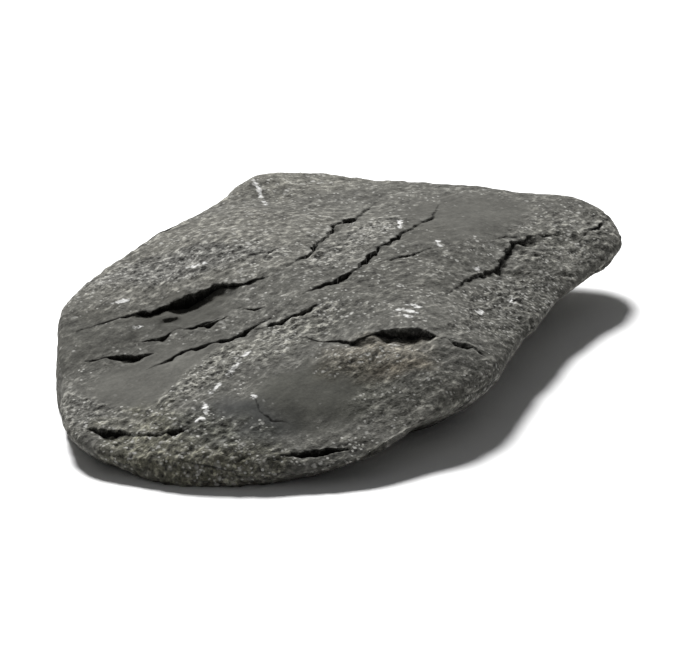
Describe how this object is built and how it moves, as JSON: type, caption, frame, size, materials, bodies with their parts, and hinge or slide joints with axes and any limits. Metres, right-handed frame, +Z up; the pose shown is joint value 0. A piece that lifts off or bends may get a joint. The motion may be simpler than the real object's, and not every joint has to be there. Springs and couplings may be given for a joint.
{
  "type": "river rock",
  "caption": "Flat, water-worn slab of dark grey foliated stone with rounded edges, thin stepped plates and long open cracks across its top; lies flat on its worn bed.",
  "frame": {"origin": "under the middle of the stone's bounding box, on the surface that it rests on", "axes": "+Z is up; +X runs along the length of the slab towards its narrow end; +Y is towards its thick back"},
  "size_m": [0.1734, 0.1134, 0.0266],
  "materials": {
    "stone": "matt water-worn slate grey with a faint warm cast, fine pale mineral flecks and near-black cracks"
  },
  "bodies": {
    "root": {"river_rock": "stone"}
  },
  "joints": []
}
